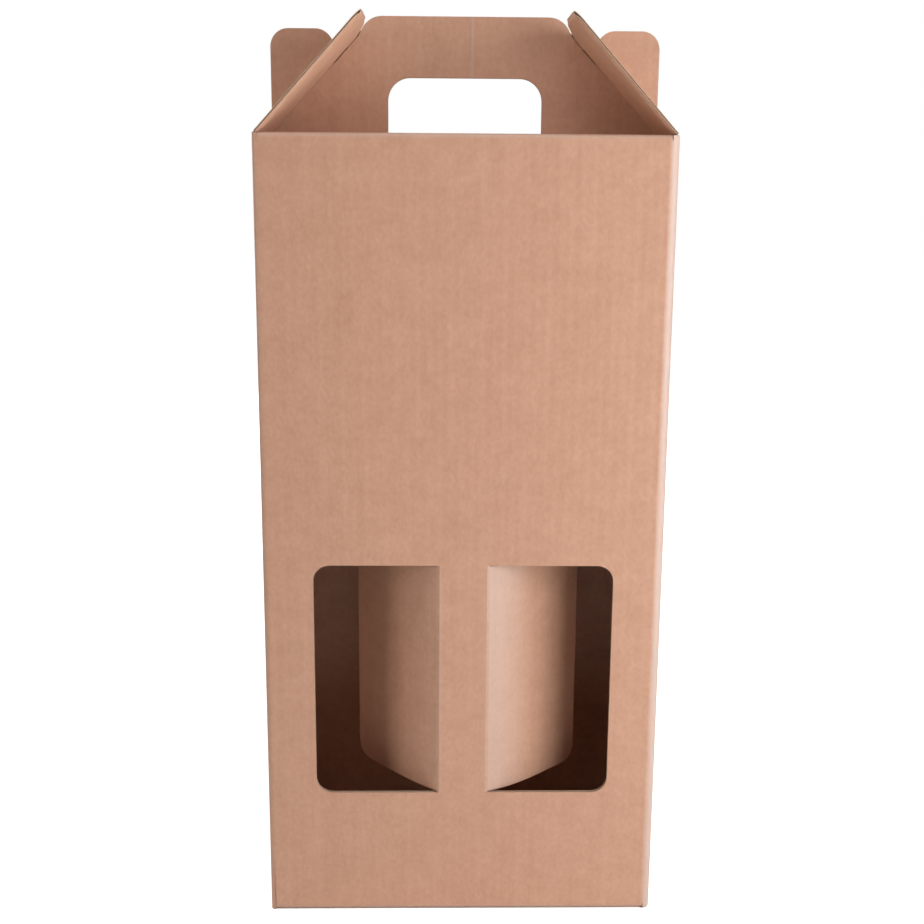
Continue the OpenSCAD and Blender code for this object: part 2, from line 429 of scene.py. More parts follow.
@dataclass(frozen=True)
class KraftLiner:
    """Test-liner: recycled kraft paper, pressed smooth on the paper machine and left bare."""

    # It looks warm brown and cloudy, with soft streaks along the flutes and a low sheen at a glancing angle.
    # The glued flutes show through faintly, paper stretched over a bend turns pale, and highlights are
    # painted pale.
    name: str
    pale: str
    deep: str
    flute_pitch: float
    # Pale of worn paper; it also paints the highlight on the right corner and the right window flap.
    worn_and_highlight_pale: str = "C0ABA1"
    worn_and_highlight_share: float = 0.85
    clouds: Grain = Grain(22.0, 22.0, 22.0, share=0.5, detail=3.0)
    patches: Grain = Grain(8.0, 8.0, 8.0, share=0.8, roughness=0.7)
    streaks: Grain = Grain(5.0, 110.0, EVEN_THROUGH, share=0.4)
    mottle: Grain = Grain(1.5, 2.6, EVEN_THROUGH, share=0.85, roughness=0.55)
    # Single fibres are too fine to show, so they are drawn as coarser flecks.
    fibres: Grain = Grain(0.45, 0.45, 0.45, share=0.4, roughness=0.6)
    flute_shade: float = 0.04
    flute_waver: float = 1.2
    flute_depth: float = 0.08
    flute_relief: float = 0.35
    mottle_depth: float = 0.05
    mottle_relief: float = 0.3
    roughness: float = 0.44

    def build(self) -> bpy.types.Material:
        """Make the material, with patterns that follow the flat board.

        Returns:
            The material.
        """
        material, tree, shader = new_material(self.name)
        flat = add_node(tree, "ShaderNodeAttribute", {"attribute_name": FLAT_ATTRIBUTE}, {}).outputs["Vector"]
        wear = add_node(tree, "ShaderNodeAttribute", {"attribute_name": WEAR_AND_HIGHLIGHT_ATTRIBUTE}, {}).outputs["Fac"]
        shades: dict[Grain, bpy.types.NodeSocket] = {}
        for grain in (self.clouds, self.patches, self.streaks, self.mottle, self.fibres):
            scale = [1 / (size * MM) for size in (grain.across, grain.along, grain.through)]
            lay = add_node(tree, "ShaderNodeMapping", {}, {"Vector": flat, "Scale": scale})
            shades[grain] = add_node(tree, "ShaderNodeTexNoise", {}, {
                "Vector": lay.outputs[0], "Scale": 1.0, "Detail": grain.detail,
                "Roughness": grain.roughness}).outputs["Fac"]
        # One band of the wave texture spans a tenth of pi at a scale of 1.
        flutes = add_node(tree, "ShaderNodeTexWave", {"bands_direction": "X"}, {
            "Vector": flat, "Scale": math.pi / 10 / (self.flute_pitch * MM), "Distortion": self.flute_waver,
            "Detail": 2.0, "Detail Scale": 0.35, "Detail Roughness": 0.6}).outputs["Fac"]
        layers = [(shade, grain.share) for grain, shade in shades.items()] + [(flutes, self.flute_shade)]
        tone: bpy.types.NodeSocket | float = 0.5
        for pattern, share in layers:
            centred = add_node(tree, "ShaderNodeMath", {"operation": "MULTIPLY_ADD"}, {
                0: pattern, 1: share, 2: -share / 2})
            tone = add_node(tree, "ShaderNodeMath", {"operation": "ADD"}, {
                0: tone, 1: centred.outputs[0]}).outputs[0]
        paper = add_node(tree, "ShaderNodeMix", {"data_type": "RGBA"}, {
            0: tone, 6: srgb(self.deep), 7: srgb(self.pale)})
        # Towards the pale colour: wear at folds, and painted highlight on the right corner and window flap.
        stretched = add_node(tree, "ShaderNodeMath", {"operation": "MULTIPLY"}, {0: wear, 1: self.worn_and_highlight_share})
        worn = add_node(tree, "ShaderNodeMix", {"data_type": "RGBA"}, {
            0: stretched.outputs[0], 6: paper.outputs[2], 7: srgb(self.worn_and_highlight_pale)})
        tree.links.new(worn.outputs[2], shader.inputs["Base Color"])
        waves = add_node(tree, "ShaderNodeBump", {}, {
            "Height": flutes, "Strength": self.flute_relief, "Distance": self.flute_depth * MM})
        relief = add_node(tree, "ShaderNodeBump", {}, {
            "Height": shades[self.mottle], "Strength": self.mottle_relief,
            "Distance": self.mottle_depth * MM, "Normal": waves.outputs[0]})
        tree.links.new(relief.outputs[0], shader.inputs["Normal"])
        shader.inputs["Roughness"].default_value = self.roughness
        return material


@dataclass(frozen=True)
class RawEdge:
    """Cut edge and fluting of the board: bare recycled paper that the die has torn."""

    # It looks rough and grey-brown, and dull from every side. Single fibres are too fine to show, so they are
    # drawn as coarser flecks.
    name: str
    pale: str
    deep: str
    fibre: float = 0.5
    fibre_depth: float = 0.08
    fibre_relief: float = 0.4
    roughness: float = 0.9
    gloss: float = 0.2

    def build(self) -> bpy.types.Material:
        """Make the material, with flecks that follow the flat board.

        Returns:
            The material.
        """
        material, tree, shader = new_material(self.name)
        flat = add_node(tree, "ShaderNodeAttribute", {"attribute_name": FLAT_ATTRIBUTE}, {}).outputs["Vector"]
        fibres = add_node(tree, "ShaderNodeTexNoise", {}, {
            "Vector": flat, "Scale": 1 / (self.fibre * MM), "Detail": 3.0}).outputs["Fac"]
        paper = add_node(tree, "ShaderNodeMix", {"data_type": "RGBA"}, {
            0: fibres, 6: srgb(self.deep), 7: srgb(self.pale)})
        tree.links.new(paper.outputs[2], shader.inputs["Base Color"])
        rough = add_node(tree, "ShaderNodeBump", {}, {
            "Height": fibres, "Strength": self.fibre_relief, "Distance": self.fibre_depth * MM})
        tree.links.new(rough.outputs[0], shader.inputs["Normal"])
        shader.inputs["Roughness"].default_value = self.roughness
        shader.inputs["Specular IOR Level"].default_value = self.gloss
        return material


@dataclass
class Board:
    """Corrugated board: two liners with a fluted medium glued between them."""

    thickness: float = 1.8
    liner: float = 0.3
    medium: float = 0.22
    glue_line: float = 0.03
    pitch: float = 4.65
    columns_per_flute: int = 6
    crush: float = 0.9
    crush_reach: float = 3.0
    crush_strips: int = 4
    smooth_deg: float = 35.0
    materials: list[bpy.types.Material] = field(default_factory=list)

    def dress(self) -> None:
        """Make the materials that every board gets, in the order of Face."""
        # The inner liner is a shade paler than the outer one, and the raw edges are greyer than both.
        self.materials = [
            KraftLiner("kraft_outer_liner", "CB9E85", "B88A70", self.pitch).build(),
            KraftLiner("kraft_inner_liner", "D4AB91", "BF957C", self.pitch).build(),
            RawEdge("raw_board_edge", "D0B49E", "AE8C72").build(),
        ]

    def slab(self, name: str, low: Corner, high: Corner, bottom: float, top: float) -> bpy.types.Object:
        """Add a flat sheet of paper.

        Args:
            name: Name of the new object.
            low: Corner with the lowest u and v.
            high: Corner with the highest u and v.
            bottom: Height of the lower face.
            top: Height of the upper face.

        Returns:
            The sheet.
        """
        deselect_all()
        centre = ((low.x + high.x) / 2, (low.y + high.y) / 2, (bottom + top) / 2)
        extent = (high.x - low.x, high.y - low.y, top - bottom)
        bpy.ops.mesh.primitive_cube_add(size=1.0, location=centre, scale=extent)
        bpy.ops.object.transform_apply(location=True, rotation=True, scale=True)
        sheet = bpy.context.object
        sheet.name = sheet.data.name = name
        return sheet

    def fluting(self, name: str, low: Corner, high: Corner) -> bpy.types.Object:
        """Add the waved medium, clear of both liners by the glue line.

        Args:
            name: Name of the new object.
            low: Corner with the lowest u and v.
            high: Corner with the highest u and v.

        Returns:
            The waved sheet.
        """
        deselect_all()
        columns = math.ceil((high.x - low.x) / self.pitch * self.columns_per_flute)
        centre = ((low.x + high.x) / 2, (low.y + high.y) / 2, 0)
        bpy.ops.mesh.primitive_grid_add(x_subdivisions=columns, y_subdivisions=1, size=1.0, location=centre,
                                        scale=(high.x - low.x, high.y - low.y, 1))
        bpy.ops.object.transform_apply(location=True, rotation=True, scale=True)
        sheet = bpy.context.object
        sheet.name = sheet.data.name = name
        swing = self.thickness / 2 - self.liner - self.glue_line - self.medium / 2
        for vertex in sheet.data.vertices:
            vertex.co.z = swing * math.cos(math.tau * vertex.co.x / self.pitch) - self.thickness / 2
        wall = sheet.modifiers.new("paper", "SOLIDIFY")
        wall.thickness = self.medium
        wall.offset = 0.0
        bpy.ops.object.modifier_apply(modifier=wall.name)
        return sheet

    def die_cut(self, name: str, outline: Sequence[Corner],
                holes: Sequence[Sequence[Corner]] = ()) -> bpy.types.Object:
        """Cut a flat board from its stock.

        Args:
            name: Name of the board.
            outline: Outer die line.
            holes: Die lines of the openings.

        Returns:
            The flat board: both liners and the medium in one mesh.
        """
        margin = self.pitch
        low = Corner(min(c.x for c in outline) - margin, min(c.y for c in outline) - margin)
        high = Corner(max(c.x for c in outline) + margin, max(c.y for c in outline) + margin)
        layers = [
            self.slab("outer_liner", low, high, -self.liner, 0.0),
            self.slab("inner_liner", low, high, -self.thickness, self.liner - self.thickness),
            self.fluting("medium", low, high),
        ]
        dies = [(prism("die", rounded_outline(outline), -2 * margin, margin), "INTERSECT")]
        dies += [(prism("punch", rounded_outline(hole), -2 * margin, margin), "DIFFERENCE") for hole in holes]
        for layer in layers:
            make_active(layer)
            for die, operation in dies:
                press = layer.modifiers.new("press", "BOOLEAN")
                press.operation = operation
                press.solver = "EXACT"
                press.object = die
                bpy.ops.object.modifier_apply(modifier=press.name)
        for die, _ in dies:
            bpy.data.meshes.remove(die.data)
        make_active(layers[0])
        for layer in layers[1:]:
            layer.select_set(True)
        bpy.ops.object.join()
        board = bpy.context.object
        board.name = board.data.name = name
        return board

    def score(self, board: bpy.types.Object, across: Sequence[float], along: Sequence[float],
              between: tuple[float, float] | None = None) -> None:
        """Split a flat board's faces along straight lines, where it will bend.

        Args:
            board: The flat board.
            across: Places of the lines that run along the flutes.
            along: Places of the lines that run across the flutes.
            between: Range across the flutes that is scored, or the whole board.
        """
        make_active(board)
        bpy.ops.object.mode_set(mode="EDIT")
        bpy.ops.mesh.select_mode(type="FACE")
        bpy.ops.mesh.select_all(action="DESELECT")
        bpy.ops.object.mode_set(mode="OBJECT")
        if between:
            faces = board.data.polygons
            centres = np.zeros(len(faces) * 3)
            faces.foreach_get("center", centres)
            places = centres[::3]
            faces.foreach_set("select", (places > between[0]) & (places < between[1]))
            board.data.update()
        bpy.ops.object.mode_set(mode="EDIT")
        if between:
            bpy.ops.mesh.hide(unselected=True)
        for place in across:
            bpy.ops.mesh.select_all(action="SELECT")
            bpy.ops.mesh.bisect(plane_co=(place, 0, 0), plane_no=(1, 0, 0), threshold=TOUCH)
        for place in along:
            bpy.ops.mesh.select_all(action="SELECT")
            bpy.ops.mesh.bisect(plane_co=(0, place, 0), plane_no=(0, 1, 0), threshold=TOUCH)
        bpy.ops.mesh.reveal(select=False)
        bpy.ops.object.mode_set(mode="OBJECT")

    def crush_lines(self, edge: float, inward: float) -> list[float]:
        """Return the lines along a crushed edge, given by its place and the sign of the way inwards."""
        step = inward * self.crush_reach / self.crush_strips
        return [edge + step * i for i in range(1, self.crush_strips + 1)]

    def edge_share(self, distance: np.ndarray) -> np.ndarray:
        """Return how far the die has crushed the board at each distance from a cut edge, from 0 to 1."""
        share = np.clip(1 - distance / self.crush_reach, 0, 1)
        return share * share * (3 - 2 * share)

    def crushed(self, flat: np.ndarray, share: np.ndarray) -> np.ndarray:
        """Press the medium and the inner liner against the outer liner.

        Args:
            flat: Points of the flat board.
            share: How far the board is crushed at each point, from 0 to 1.

        Returns:
            The pressed points.
        """
        pressed = flat.copy()
        core = self.thickness - 2 * self.liner
        within = np.clip((-flat[:, 2] - self.liner) / core, 0, 1)
        pressed[:, 2] += within * share * self.crush
        return pressed

    def paper(self, mesh: bpy.types.Mesh, flat: np.ndarray, wear: np.ndarray) -> None:
        """Give a mesh the board's materials, and the places, wear and painted highlight that their patterns
        follow.

        Args:
            mesh: Mesh of a board or of a crease.
            flat: Place of each point on the flat board, in millimetres.
            wear: How pale the paper is painted at each point, from 0 to 1, for wear and painted highlight.
        """
        mesh.materials.clear()
        for material in self.materials:
            mesh.materials.append(material)
        places = mesh.attributes.new(FLAT_ATTRIBUTE, "FLOAT_VECTOR", "POINT")
        places.data.foreach_set("vector", (flat * MM).astype(np.float32).ravel())
        worn = mesh.attributes.new(WEAR_AND_HIGHLIGHT_ATTRIBUTE, "FLOAT", "POINT")
        worn.data.foreach_set("value", wear.astype(np.float32))

    def fold_up(self, board: bpy.types.Object, fold: Callable[[np.ndarray], np.ndarray],
                wear: Callable[[np.ndarray], np.ndarray] | None = None,
                pinch: Callable[[np.ndarray], np.ndarray] | None = None) -> None:
        """Give a flat board its materials and its pattern places, then fold it.

        Args:
            board: The flat, scored board in millimetres.
            fold: Turns flat points in millimetres into folded ones in metres.
            wear: Gives how pale the paper is painted at each flat point, from 0 to 1, for wear and painted
                highlight.
            pinch: Gives how far the die has crushed the board at each flat point, from 0 to 1.
        """
        mesh = board.data
        flat = np.zeros(len(mesh.vertices) * 3)
        mesh.vertices.foreach_get("co", flat)
        flat = flat.reshape(-1, 3)
        centres, normals = np.zeros(len(mesh.polygons) * 3), np.zeros(len(mesh.polygons) * 3)
        mesh.polygons.foreach_get("center", centres)
        mesh.polygons.foreach_get("normal", normals)
        level, up = centres[2::3], normals[2::3]
        slots = np.full(len(level), int(Face.CUT), np.int32)
        slots[(level > -TOUCH) & (up > FACING)] = int(Face.OUTER)
        slots[(level < TOUCH - self.thickness) & (up < -FACING)] = int(Face.INNER)
        self.paper(mesh, flat, wear(flat) if wear else np.zeros(len(flat)))
        mesh.polygons.foreach_set("material_index", slots)
        if pinch:
            flat = self.crushed(flat, pinch(flat))
        mesh.vertices.foreach_set("co", fold(flat).astype(np.float32).ravel())
        mesh.update()
        make_active(board)
        bpy.ops.object.shade_smooth_by_angle(angle=math.radians(self.smooth_deg))
        LOG.info("%s: %d faces", board.name, len(mesh.polygons))


@dataclass(frozen=True)
class CartonSizes:
    """Sizes of the carton in millimetres. The first ones come from the frame."""

    width: float
    depth: float
    lid_top: float
    handle_top: float
    hinge_height: float
    board: float = 1.8
    # Folds, by the radius inside the bend.
    left_corner: float = 0.8
    right_corner: float = 2.7
    rear_corner: float = 1.2
    seam_corner: float = 0.4
    lid_fold: float = 0.8
    handle_crease: float = 0.6
    ramp_bend: float = 2.0
    # Walls, glue tab and lid.
    wall_bulge: float = 0.5
    glue_tab: float = 32.0
    glue_tab_corner: float = 3.0
    lid_side_gap: float = 1.8
    corner_slit: float = 0.05
    corner_drop: float = 0.2
    hinge_reach: float = 1.2
    # Handle panels with their hand hole and ears.
    panel_gap: float = 0.4
    handle_shoulder: float = 10.0
    shoulder_lean_deg: float = 62.0
    hand_hole_width: float = 69.0
    hand_hole_rise: float = 25.5
    hand_hole_corner: float = 10.0
    ear_width: float = 28.0
    ear_rise: float = 46.0
    ear_corner: float = 8.0
    # Faint crease down the grip.
    grip_crease_x: float = 2.9
    grip_crease_half: float = 0.8
    grip_crease_rise: float = 0.2
    grip_crease_wear: float = 0.5
    # Lock between the handle and the side flaps.
    flap_lean_deg: float = 47.6
    lock_gap: float = 0.3
    slot_gap: float = 0.6
    bridge: float = 6.0
    # Windows.
    window_width: float = 57.0
    window_height: float = 110.0
    window_sill: float = 60.0
    window_corner: float = 7.5
    mullion: float = 21.0
    # Snap-lock base, whose flaps lie in layers.
    layer: float = 2.1
    fold_run: float = 1.5
    layer_run: float = 7.0
    tongue_width: float = 70.0
    tongue_grip: float = 18.0
    tongue_end_gap: float = 8.0
    tongue_corner: float = 6.0
    base_overlap: float = 10.0
    base_slant: float = 8.0
    base_gap: float = 1.5
    base_corner: float = 3.0
    # Paleness of the folds: wear, and on the right corner a painted highlight too.
    left_wear: Wear = Wear(0.1)
    # The right corner's band peaks a third of the way round: a painted highlight over its wear.
    right_wear_and_highlight: Wear = Wear(1.0, 1 / 3)
    rear_wear: Wear = Wear(0.3)
    level_wear: Wear = Wear(0.3)

    @classmethod
    def from_frame(cls) -> "CartonSizes":
        """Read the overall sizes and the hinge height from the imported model.

        Returns:
            The sizes of the carton.
        """
        low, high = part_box("carton_body")
        hinge = joint_named("right_side_flap_open")["pos_m"]
        return cls(
            width=(high.x - low.x) / MM,
            depth=(high.y - low.y) / MM,
            lid_top=hinge[2] / MM + cls.board / 2,
            handle_top=high.z / MM,
            hinge_height=hinge[2] / MM,
        )

    @property
    def wall_top(self) -> float:
        """Height at which a side wall ends and the crease of its flap begins."""
        return self.hinge_height - self.hinge_reach

    @property
    def post_top(self) -> float:
        """Height of the corners between the lid and the side flaps."""
        return self.lid_top - self.corner_drop

    @property
    def lid_bend(self) -> float:
        """Outside radius of the folds into the lid and the base."""
        return self.lid_fold + self.board

    @property
    def lid_half(self) -> float:
        """Half of the lid's width."""
        return self.width / 2 - self.board - self.lid_side_gap

    @property
    def panel_face(self) -> float:
        """Distance of a handle panel's outer face from the middle."""
        return self.panel_gap / 2 + self.board

    @property
    def front_flap_end(self) -> float:
        """Depth of the end of the front base flap, where its tongue begins to rise."""
        return self.depth - self.board - self.tongue_end_gap - self.tongue_grip - 3 * self.layer_run

    @property
    def base_fold_end(self) -> float:
        """Depth at which a side or back base flap begins to rise."""
        return self.lid_bend + self.fold_run

    @property
    def side_flap_end(self) -> float:
        """Depth of the inner end of the side base flaps."""
        return self.width / 2 - self.tongue_width / 2 - self.base_gap - self.base_slant

    @property
    def lean(self) -> float:
        """Lean of a locked side flap above level, in radians."""
        return math.radians(self.flap_lean_deg)

    @property
    def hinge_x(self) -> float:
        """Distance of a side flap's crease axis from the middle."""
        return self.width / 2 - self.board / 2

    @property
    def slot_end(self) -> float:
        """Distance from a side flap's crease axis to its slot's end, which the ear's corner has to pass."""
        across = self.hinge_x - self.lid_half + self.ear_width - self.ear_corner
        rise = self.lid_top + self.ear_rise - self.ear_corner - self.hinge_height
        return self.ear_corner + math.hypot(across, rise) + self.slot_gap


@dataclass
class CartonSheet:
    """The carton's fixed sheet: walls with windows, lid halves, handle panels, base flaps and glue tab."""

    sizes: CartonSizes
    board: Board
    side_strips: int = 6
    back_strips: int = 8
    wall_rows: int = 12
    # Lines of the grip's crease, in shares of its half width.
    grip_lines: tuple[float, ...] = (-1.4, -1.0, 0.0, 1.0, 1.4)
    plan: FoldPath = field(init=False)
    profiles: dict[Leg, FoldPath] = field(init=False)
    u_zero: float = field(init=False)

    def __post_init__(self) -> None:
        """Lay out the paths that the sheet is folded along."""
        s = self.sizes
        half_w, half_d, t = s.width / 2, s.depth / 2, s.board
        tab_face = t - half_w
        rear_bend = s.rear_corner + t
        self.plan = FoldPath([
            Corner(-half_w, half_d - rear_bend),
            Corner(-half_w, -half_d, s.left_corner),
            Corner(half_w, -half_d, s.right_corner),
            Corner(half_w, half_d, s.rear_corner),
            Corner(tab_face, half_d, s.seam_corner),
            Corner(tab_face, half_d - rear_bend - s.glue_tab),
        ], t, 1.0)
        handle = [
            Corner(0, s.lid_top, s.lid_fold),
            Corner(half_d - s.panel_face, s.lid_top, s.handle_crease),
            Corner(half_d - s.panel_face, s.handle_top),
        ]
        foot = Corner(0, 0, s.lid_fold)
        tongue_start = s.front_flap_end + 3 * s.layer_run
        ramp = s.base_fold_end
        arm_end = s.depth - s.front_flap_end + s.base_overlap
        sections = {
            Leg.FRONT: [
                Corner(tongue_start + s.tongue_grip, 3 * s.layer),
                Corner(tongue_start, 3 * s.layer, s.ramp_bend),
                Corner(s.front_flap_end, 0, s.ramp_bend),
                foot, *handle,
            ],
            Leg.BACK: [
                Corner(arm_end, 2 * s.layer),
                Corner(ramp + 2 * s.layer_run, 2 * s.layer, s.ramp_bend),
                Corner(ramp, 0, s.ramp_bend),
                foot, *handle,
            ],
        }
        for leg in (Leg.LEFT, Leg.RIGHT):
            sections[leg] = [
                Corner(s.side_flap_end, s.layer),
                Corner(ramp + s.layer_run, s.layer, s.ramp_bend),
                Corner(ramp, 0, s.ramp_bend),
                foot, Corner(0, s.wall_top),
            ]
        self.profiles = {leg: FoldPath(corners, t, -1.0) for leg, corners in sections.items()}
        self.u_zero = self.plan.flat(Leg.FRONT, half_w)

    def u(self, leg: Leg, along: float) -> float:
        """Return the flat place of a point on a wall, given by its distance from that wall's first corner."""
        return self.plan.flat(leg, along) - self.u_zero

    def v(self, leg: Leg, run: Run, along: float) -> float:
        """Return the flat height of a point of a wall's profile, counted from the foot of the wall."""
        profile = self.profiles[leg]
        return profile.flat(run, along) - profile.flat(Run.WALL, 0)

    def v_handle(self, leg: Leg, height: float) -> float:
        """Return the flat height of a point of a handle panel, given by its height above the base."""
        return self.v(leg, Run.HANDLE, height - self.sizes.lid_top)

    def mirrored(self, middle: float, half: Sequence[Corner]) -> list[Corner]:
        """Return a line and its mirror image, for a half line that is given by distances from the middle."""
        first = [Corner(middle - c.x, c.y, c.radius) for c in half]
        return first + [Corner(middle + c.x, c.y, c.radius) for c in reversed(half)]

    def wide_base_line(self, leg: Leg) -> list[Corner]:
        """Draw the die line of the front or back base flap.

        Args:
            leg: The wall that the flap grows from.

        Returns:
            Corners from the first to the last along the outline.
        """
        s = self.sizes
        slit = [
            Corner(s.lid_half + s.corner_slit, 0),
            Corner(s.lid_half + s.corner_slit, s.lid_bend),
            Corner(s.lid_half, s.lid_bend),
        ]
        if leg is Leg.FRONT:
            end = s.front_flap_end
            side_start = s.lid_bend + 2 * s.layer_run - s.base_gap
            half = s.width / 2 - s.base_fold_end - s.layer_run - s.base_gap
            flap = [
                Corner(s.lid_half, self.v(leg, Run.BASE_FLAP, end - s.lid_bend)),
                Corner(half, self.v(leg, Run.BASE_FLAP, end - side_start)),
                Corner(half - s.base_slant, self.v(leg, Run.BASE_FLAP, 0), s.base_corner),
                Corner(s.tongue_width / 2, self.v(leg, Run.BASE_FLAP, 0)),
                Corner(s.tongue_width / 2, self.v(leg, Run.BASE_END, 0), s.tongue_corner),
            ]
        else:
            notch_half = s.tongue_width / 2 + s.base_gap
            notch_depth = s.board + s.tongue_end_gap + s.tongue_grip - s.base_gap
            arm_end = s.depth - s.front_flap_end + s.base_overlap
            flap = [
                Corner(s.lid_half, self.v(leg, Run.BASE_FLAP, s.fold_run)),
                Corner(s.lid_half - s.base_slant, self.v(leg, Run.BASE_END, 0), s.base_corner),
                Corner(notch_half + s.base_slant, self.v(leg, Run.BASE_END, 0), s.base_corner),
                Corner(notch_half, self.v(leg, Run.BASE_END, arm_end - notch_depth), s.base_corner),
            ]
        return self.mirrored(self.u(leg, s.width / 2), slit + flap)

    def side_base_line(self, leg: Leg) -> list[Corner]:
        """Draw the die line of a side base flap.

        Args:
            leg: The wall that the flap grows from.

        Returns:
            Corners from the first to the last along the outline.
        """
        s = self.sizes
        front = s.lid_bend + 2 * s.layer_run
        rear = s.depth - s.base_fold_end - 2 * s.layer_run - s.base_gap
        ends = [rear, front] if leg is Leg.LEFT else [front, rear]
        origin = s.depth - s.rear_corner - s.board if leg is Leg.LEFT else 0.0
        places = [self.u(leg, abs(origin - end)) for end in ends]
        middle, half = sum(places) / 2, (places[1] - places[0]) / 2
        return self.mirrored(middle, [
            Corner(half + s.corner_slit, 0),
            Corner(half + s.corner_slit, s.lid_bend),
            Corner(half, s.lid_bend),
            Corner(half, self.v(leg, Run.BASE_RAMP, 0)),
            Corner(half - s.base_slant, self.v(leg, Run.BASE_END, 0), s.base_corner),
        ])

    def lid_line(self, leg: Leg) -> list[Corner]:
        """Draw the die line of a lid half and its handle panel, which the bridge of each side flap rests on.

        Args:
            leg: The wall that the lid half grows from.

        Returns:
            Corners from the first to the last along the outline.
        """
        s = self.sizes
        sin, cos = math.sin(s.lean), math.cos(s.lean)
        offset = s.board / 2 + s.lock_gap
        reach = s.hinge_x * sin + (s.hinge_height - s.lid_top) * cos - offset
        ear_inner = s.lid_half - s.ear_width
        ear_top = self.v_handle(leg, s.lid_top + s.ear_rise)
        notch = (reach - ear_inner * sin) / cos
        past_bridge = s.slot_end + s.bridge + s.slot_gap
        turn = s.hinge_x - past_bridge * cos - offset * sin
        turn_height = s.hinge_height + past_bridge * sin - offset * cos
        shoulder = turn - (s.handle_top - turn_height) / math.tan(math.radians(s.shoulder_lean_deg))
        line = self.mirrored(self.u(leg, s.width / 2), [
            Corner(s.lid_half + s.corner_slit, s.post_top),
            Corner(s.lid_half + s.corner_slit, s.lid_top - s.lid_bend),
            Corner(s.lid_half, s.lid_top - s.lid_bend),
            Corner(s.lid_half, ear_top, s.ear_corner),
            Corner(ear_inner, ear_top, s.ear_corner),
            Corner(ear_inner, self.v_handle(leg, s.lid_top + notch)),
            Corner(turn, self.v_handle(leg, turn_height)),
            Corner(shoulder, self.v_handle(leg, s.handle_top), s.handle_shoulder),
        ])
        return line[::-1]

    def outline(self) -> list[Corner]:
        """Draw the sheet's outer die line.

        Returns:
            Corners in anticlockwise order, from the left wall's rear foot.
        """
        s = self.sizes
        start = self.u(Leg.LEFT, 0)
        left_end = self.plan.span(Leg.LEFT)[1] - self.u_zero
        right_start, right_end = (place - self.u_zero for place in self.plan.span(Leg.RIGHT))
        tab_start, tab_end = (place - self.u_zero for place in self.plan.span(Leg.GLUE_TAB))
        slope = s.glue_tab / 3
        return [
            Corner(start, 0),
            *self.side_base_line(Leg.LEFT),
            *self.wide_base_line(Leg.FRONT),
            *self.side_base_line(Leg.RIGHT),
            *self.wide_base_line(Leg.BACK),
            Corner(tab_start, s.lid_bend),
            Corner(tab_end, s.lid_bend + slope, s.glue_tab_corner),
            Corner(tab_end, s.wall_top - slope, s.glue_tab_corner),
            Corner(tab_start, s.wall_top),
            *self.lid_line(Leg.BACK),
            Corner(right_end, s.post_top),
            Corner(right_end, s.wall_top),
            Corner(right_start, s.wall_top),
            Corner(right_start, s.post_top),
            *self.lid_line(Leg.FRONT),
            Corner(left_end, s.post_top),
            Corner(left_end, s.wall_top),
            Corner(start, s.wall_top),
        ]

    def window(self, hand: Hand) -> list[Corner]:
        """Draw the die line of one window, up to its crease.

        Args:
            hand: Side of the window.

        Returns:
            Corners of the closed line.
        """
        s = self.sizes
        crease = s.mullion / 2
        inner, outer = crease - s.hinge_reach, crease + s.window_width
        top = s.window_sill + s.window_height
        return [
            Corner(hand.value * inner, s.window_sill),
            Corner(hand.value * outer, s.window_sill, s.window_corner),
            Corner(hand.value * outer, top, s.window_corner),
            Corner(hand.value * inner, top),
        ]

    def hand_hole(self, leg: Leg) -> list[Corner]:
        """Draw the die line of one panel's hand hole, down to the crease of the lid.

        Args:
            leg: The wall that the panel grows from.

        Returns:
            Corners of the closed line.
        """
        s = self.sizes
        half = s.hand_hole_width / 2
        foot = self.v_handle(leg, s.lid_top + s.handle_crease) - s.board / 2
        top = self.v_handle(leg, s.lid_top + s.hand_hole_rise)
        side = [Corner(half, foot), Corner(half, top, s.hand_hole_corner)]
        return self.mirrored(self.u(leg, s.width / 2), side)

    def panel_span(self, leg: Leg) -> tuple[float, float]:
        """Find the flat range of a wall with its lid half and base flap, which reach into the corner folds.

        Args:
            leg: The wall.

        Returns:
            Where the range starts and ends along the walls' plan.
        """
        start, end = self.plan.span(leg)
        if leg in (Leg.FRONT, Leg.BACK):
            middle = self.plan.flat(leg, self.sizes.width / 2)
            start, end = min(start, middle - self.sizes.lid_half), max(end, middle + self.sizes.lid_half)
        return start - TOUCH, end + TOUCH

    def on_panel(self, leg: Leg, places: np.ndarray, heights: np.ndarray) -> np.ndarray:
        """Tell which flat points belong to a wall, its lid half or its base flap.

        Args:
            leg: The wall.
            places: Flat places along the walls' plan.
            heights: Flat heights.

        Returns:
            A truth value for each point.
        """
        s = self.sizes
        start, end = self.plan.span(leg)
        wide_start, wide_end = self.panel_span(leg)
        beyond = (heights < s.lid_bend - TOUCH) | (heights > s.lid_top - s.lid_bend + TOUCH)
        straight = (places > start - TOUCH) & (places < end + TOUCH)
        return straight | (beyond & (places > wide_start) & (places < wide_end))

    def fold(self, flat: np.ndarray) -> np.ndarray:
        """Fold flat points of the sheet into the carton.

        Args:
            flat: Points of the flat sheet in millimetres.

        Returns:
            Points of the carton in metres.
        """
        s = self.sizes
        places, heights, insets = flat[:, 0] + self.u_zero, flat[:, 1], -flat[:, 2]
        ground, levels = self.plan.locate(places, insets), heights.copy()
        for leg, profile in self.profiles.items():
            here = self.on_panel(leg, places, heights)
            spots = profile.locate(heights[here] + profile.flat(Run.WALL, 0), insets[here])
            depths, levels[here] = spots[:, 0], spots[:, 1]
            start, end = self.plan.span(leg)
            if leg is Leg.FRONT:
                depths = depths - s.grip_crease_rise * self.grip_share(flat[here])
            else:
                across = np.clip((places[here] - start) / (end - start), 0, 1)
                upward = np.clip(levels[here] / s.lid_top, 0, 1)
                depths = depths - s.wall_bulge * np.sin(math.pi * across) * np.sin(math.pi * upward)
            run = self.plan.runs[leg]
            onward = np.outer(places[here] - start, run.heading)
            ground[here] = run.origin + onward + np.outer(depths, run.inward)
        return np.column_stack([ground, levels]) * MM

